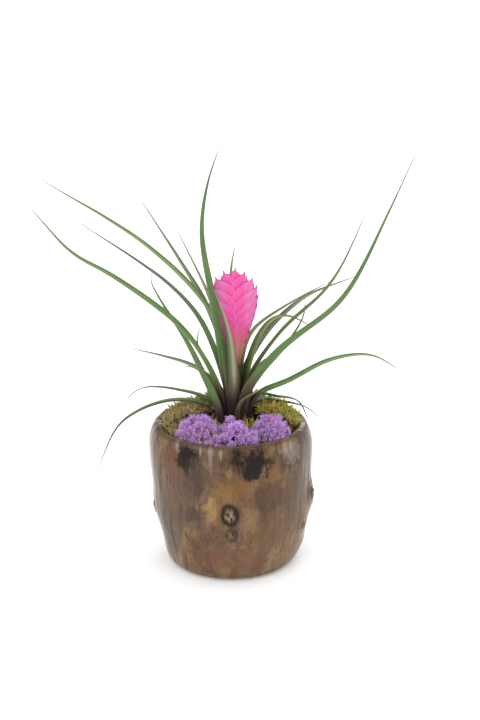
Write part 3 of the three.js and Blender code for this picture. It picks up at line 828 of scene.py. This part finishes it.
# Painted sheen: paler lilac on the spike's flanks at mid height, and in random patches.
from_axis = math_of(wax, "ABSOLUTE", math_of(wax, "SUBTRACT", axes_of(wax, wax_place)["X"], 3 * MM))
mid_height = math_of(wax, "MULTIPLY", limits(wax, up_spike, 0.25, 0.5), limits(wax, up_spike, 1.05, 0.85))
sheen_flank = math_of(wax, "MULTIPLY", limits(wax, from_axis, 3 * MM, 11 * MM), mid_height)
painted_sheen = math_of(wax, "ADD", math_of(wax, "MULTIPLY", sheen_flank, 0.6), noise_of(wax, wax_place, 85, 4, 0.6))
wax_colour = tint(wax, wax_colour, srgb(222, 134, 192), limits(wax, painted_sheen, 0.52, 1.3), 0.75)
wax_colour = tint(wax, wax_colour, srgb(240, 150, 204), limits(wax, off_keel, 0.82, 0.98), 0.15)
wax_colour = tint(wax, wax_colour, srgb(206, 46, 134), limits(wax, veins, 0.56, 0.34), 0.6)
wax_colour = tint(wax, wax_colour, srgb(214, 44, 134), limits(wax, off_keel, 0.12, 0.02), 0.3)
wax_colour = tint(wax, wax_colour, srgb(136, 62, 108), limits(wax, bract_along, 0.83, 0.93), 0.85)
link(wax, wax_colour, wax_surface, "Base Color")
add_bump(wax, wax_surface, 0.35, 0.25 * MM, veins)

random.seed(5)
for rank, rank_side, count, first in BRACT_RANKS:
    for index in range(count):
        bract = model_bract(f"pink_bract_{rank}_{index + 1:02d}", rank_side, index, first)
        if not shell_faces_outwards(bract, rank_side):
            bract.data.flip_normals()
        flesh = bract.modifiers.new("flesh", "SOLIDIFY")
        flesh.thickness = FLESH
        flesh.offset = -1
        bpy.ops.object.modifier_apply(modifier=flesh.name)
        smooth_by_subdivision(bract, 1)
        finish_piece(bract, wax, "bract", f"bract_{rank}_{index + 1:02d}")

# ---------------------------------------------------------------------------------------------
# Sheet moss: mats of dried feather moss tucked round the plant by hand. Each sprig is a curved
# stem with short leafy branches.

random.seed(11)


def copies_joined(name, templates, places):
    """One piece from many copies: each place holds (template number, matrix, shade)."""
    bpy.ops.object.select_all(action="DESELECT")
    for number, matrix, shade in places:
        copy = templates[number].copy()
        copy.data = templates[number].data.copy()
        copy.data.transform(matrix)
        store(copy, "shade", [shade] * len(copy.data.vertices))
        scene.collection.objects.link(copy)
        copy.select_set(True)
    bpy.context.view_layer.objects.active = copy
    bpy.ops.object.join()
    piece = bpy.context.object
    piece.name = name
    return piece


def add_twig(start, end, thick, thin):
    """A three-sided tapering twig from one point to another."""
    run = Vector(end) - Vector(start)
    bpy.ops.mesh.primitive_cone_add(
        vertices=3, radius1=thick, radius2=thin, depth=run.length,
        location=Vector(start) + run / 2, rotation=run.to_track_quat("Z", "Y").to_euler())
    return bpy.context.object


def join_template(name, twigs, reach):
    """Joins twigs into one template at the origin, and marks how near each vertex is to a tip."""
    bpy.ops.object.select_all(action="DESELECT")
    for twig in twigs:
        twig.select_set(True)
    bpy.context.view_layer.objects.active = twigs[0]
    bpy.ops.object.transform_apply(location=True, rotation=True, scale=True)
    bpy.ops.object.join()
    template = bpy.context.object
    template.name = name
    store(template, "tipward", [min(1, v.co.length / reach) for v in template.data.vertices])
    return template


def model_moss_sprig(name, length, curl):
    """A curved stem with two rows of short slanting leaflets."""
    twigs = []
    joints = [Vector((curl * (t / 5) ** 2, 0.2 * curl * math.sin(t), length * t / 5)) for t in range(6)]
    for t in range(5):
        twigs.append(add_twig(joints[t], joints[t + 1], (0.42 - 0.06 * t) * MM, (0.36 - 0.06 * t) * MM))
        for side in (-1, 1):
            turn = random.uniform(0, math.pi)
            reach = (2.4 - 0.3 * t) * MM
            leaf_end = joints[t + 1] + reach * Vector((math.cos(turn) * side, math.sin(turn) * side, 0.75))
            twigs.append(add_twig(joints[t], leaf_end, 0.4 * MM, 0.08 * MM))
    return join_template(name, twigs, length)


moss_sprigs = [
    model_moss_sprig("moss_sprig_upright", 6.5 * MM, 2.5 * MM),
    model_moss_sprig("moss_sprig_bent", 8 * MM, 6 * MM),
    model_moss_sprig("moss_sprig_short", 4.5 * MM, 1.5 * MM),
]


def moss_paint(name, colours):
    """Dry moss: each sprig has its own shade, paler towards its tip."""
    paint, surface = new_paint(name, Roughness=0.9, Sheen_Weight=0.15)
    stops = [(i / (len(colours) - 1), colour) for i, colour in enumerate(colours)]
    colour = ramp(paint, stored(paint, "shade"), *stops)
    colour = tint(paint, colour, srgb(66, 56, 30), limits(paint, stored(paint, "tipward"), 0.5, 0.05))
    colour = tint(paint, colour, srgb(120, 100, 60), noise_of(paint, place_on_piece(paint), 900, 2), 0.3)
    link(paint, colour, surface, "Base Color")
    return paint


brown_moss = moss_paint("brown_moss", (
    srgb(140, 112, 74), srgb(194, 164, 118), srgb(160, 158, 90), srgb(230, 206, 160),
    srgb(176, 174, 106), srgb(218, 160, 104)))
green_moss = moss_paint("green_moss", (
    srgb(122, 124, 44), srgb(156, 160, 56), srgb(196, 196, 74), srgb(216, 208, 100),
    srgb(176, 152, 88), srgb(214, 154, 106)))


def turf_places(triangles, points, count, lean, deepest, highest):
    """Places for sprigs, spread evenly over triangles, from deepest to highest above them."""
    areas = [t.area for t in triangles]
    places = []
    for triangle in random.choices(triangles, weights=areas, k=count):
        a, b, c = (points[i].co for i in triangle.vertices)
        u, v = sorted((random.random(), random.random()))
        ground = a * u + b * (v - u) + c * (1 - v) + Vector((0, 0, random.uniform(deepest, highest)))
        up = (triangle.normal + lean * Vector((random.gauss(0, 1), random.gauss(0, 1), 0.1))).normalized()
        upright = up.to_track_quat("Z", "Y").to_matrix().to_4x4()
        turn = upright @ Matrix.Rotation(random.uniform(0, 6.28), 4, "Z")
        size = Matrix.Scale(random.uniform(0.6, 1.1), 4)
        places.append((random.randrange(3), Matrix.Translation(ground) @ turn @ size, random.random()))
    return places


def mat_places(node, count, lean):
    """Places for sprigs over the top of a CAD mat."""
    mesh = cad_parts[node].data
    mesh.calc_loop_triangles()
    tops = [t for t in mesh.loop_triangles if t.normal.z > 0.25]
    return turf_places(tops, mesh.vertices, count, lean, -1.8 * MM, -0.8 * MM)


def loose_places(count, from_degrees, to_degrees, inner, outer, highest=0.4 * MM):
    """Places for the loose moss that is tucked in over the mix, between two directions."""
    mesh = bark_mix.data
    mesh.calc_loop_triangles()
    tops = []
    for t in mesh.loop_triangles:
        off = t.center - CROWN_AXIS
        direction = math.degrees(math.atan2(off.y, off.x)) % 360
        direction += 360 if direction + 360 <= to_degrees else 0
        radius = math.hypot(off.x, off.y)
        if t.normal.z > 0.3 and from_degrees <= direction <= to_degrees and inner < radius < outer:
            tops.append(t)
    return turf_places(tops, mesh.vertices, count, 1.1, -0.8 * MM, highest)


MAT_SPRIGS = 640
LOOSE_SPRIGS = 300
turf = copies_joined(
    "moss_turf_left", moss_sprigs,
    mat_places("moss_mat_left", MAT_SPRIGS, 0.9) + loose_places(LOOSE_SPRIGS, 184, 262, 18 * MM, 46 * MM)
    + loose_places(700, 140, 250, 40 * MM, 64 * MM, 8 * MM))
finish_piece(turf, brown_moss, "brown_moss", "moss_mat_left")
turf = copies_joined(
    "moss_turf_back", moss_sprigs,
    mat_places("moss_mat_back", MAT_SPRIGS, 0.8) + loose_places(LOOSE_SPRIGS, 44, 150, 20 * MM, 64 * MM))
finish_piece(turf, green_moss, "green_moss", "moss_mat_back")
turf = copies_joined(
    "moss_turf_right", moss_sprigs,
    mat_places("moss_mat_right", MAT_SPRIGS, 0.8) + loose_places(LOOSE_SPRIGS, 276, 350, 17 * MM, 42 * MM)
    + loose_places(380, 300, 404, 38 * MM, 64 * MM, 4 * MM))
finish_piece(turf, green_moss, "green_moss", "moss_mat_right")

# ---------------------------------------------------------------------------------------------
# Reindeer lichen: springy clumps of finely forked twigs, dyed purple and pressed into the mix
# along the front.


def scatter():
    """A random step, as likely one way as another."""
    return Vector((random.gauss(0, 1), random.gauss(0, 1), random.gauss(0, 1)))


def fork(twigs, start, heading, length, levels):
    """Adds a twig and the smaller ones that fork from its end."""
    end = start + heading * length
    twigs.append(add_twig(start, end, (0.16 + 0.05 * levels) * MM, (0.13 + 0.05 * levels) * MM))
    if levels == 0:
        return
    for _ in range(2):
        fork(twigs, end, (heading + 0.55 * scatter()).normalized(), length * 0.8, levels - 1)


def model_lichen_twiglet(name):
    """A tuft of twigs that forks three times."""
    twigs = []
    fork(twigs, Vector(), Vector((0, 0, 1)), 2.6 * MM, 3)
    return join_template(name, twigs, 7 * MM)


lichen_twiglets = [model_lichen_twiglet(f"lichen_twiglet_{n}") for n in range(4)]

dyed, dyed_surface = new_paint("dyed_lichen", Roughness=0.85, Sheen_Weight=0.2)
# Painted shade and highlight: darker at each twiglet's foot, deep in the clump, and paler towards its tips;
# the purple itself is the dye.
dye_and_painted_light = ramp(
    dyed, stored(dyed, "tipward"),
    (0.1, srgb(134, 86, 162)), (0.5, srgb(180, 128, 204)), (0.9, srgb(216, 176, 232)))
dye_and_painted_light = tint(dyed, dye_and_painted_light, srgb(204, 142, 214), stored(dyed, "shade"), 0.35)
link(dyed, dye_and_painted_light, dyed_surface, "Base Color")

GOLDEN_TURN = math.pi * (3 - math.sqrt(5))  # spreads lobes evenly over a clump
FULL_LOBE = 8 * MM  # a lobe of this radius holds twiglets at their full size
TWIGLETS_EACH = 26  # in a lobe


def lichen_places(node, lobes, lobe_radius, low_lobes):
    """Places for twiglets: they radiate from lobes that crowd over the clump, and from low ones, in mm."""
    low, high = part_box(node)
    middle = (low + high) / 2
    half = (high - low) / 2
    centres = []
    for lobe in range(lobes):
        lift = 0.95 - 1.15 * lobe / lobes
        turn = lobe * GOLDEN_TURN
        level = math.sqrt(1 - lift * lift)
        towards = Vector((math.cos(turn) * level, math.sin(turn) * level, lift))
        reach = random.uniform(0.82, 1.12)
        centre = middle + Vector([towards[i] * (half[i] * reach - 0.6 * lobe_radius) for i in range(3)])
        centres.append((centre, towards))
    centres += [(Vector(place) * MM, Vector((0, 0, 1))) for place in low_lobes]
    places = []
    for centre, towards in centres:
        shade = random.random()
        lobe_size = lobe_radius * random.uniform(0.75, 1.25) / FULL_LOBE
        for _ in range(TWIGLETS_EACH):
            heading = scatter().normalized() + towards * 0.8
            turned = heading.to_track_quat("Z", "Y").to_matrix().to_4x4()
            size = Matrix.Scale(lobe_size * random.uniform(0.75, 1.2), 4)
            places.append((random.randrange(4), Matrix.Translation(centre) @ turned @ size, shade))
    return places


LOW_LEFT = ((-42, -25, 112), (-37, -36, 112), (-28, -44, 112), (-18, -46, 114), (-13, -41, 116))
LOW_MIDDLE = ((-10, -49, 113), (0, -51, 113), (12, -40, 117))
LOW_RIGHT = ((44, -27, 112), (38, -37, 112), (28, -44, 112), (18, -38, 116))
for node, lobes, lobe_radius, low_lobes in (
    ("lichen_left", 22, 6.5 * MM, LOW_LEFT),
    ("lichen_middle", 19, 6.5 * MM, LOW_MIDDLE),
    ("lichen_right", 21, 6.5 * MM, LOW_RIGHT),
    ("lichen_small", 6, 4.2 * MM, ()),
):
    places = lichen_places(node, lobes, lobe_radius, low_lobes)
    clump = copies_joined(node.replace("lichen", "lichen_clump"), lichen_twiglets, places)
    finish_piece(clump, dyed, "purple_lichen", node)

# Only the copies of the sprigs and twiglets belong to the object.
for template in moss_sprigs + lichen_twiglets:
    bpy.data.objects.remove(template)
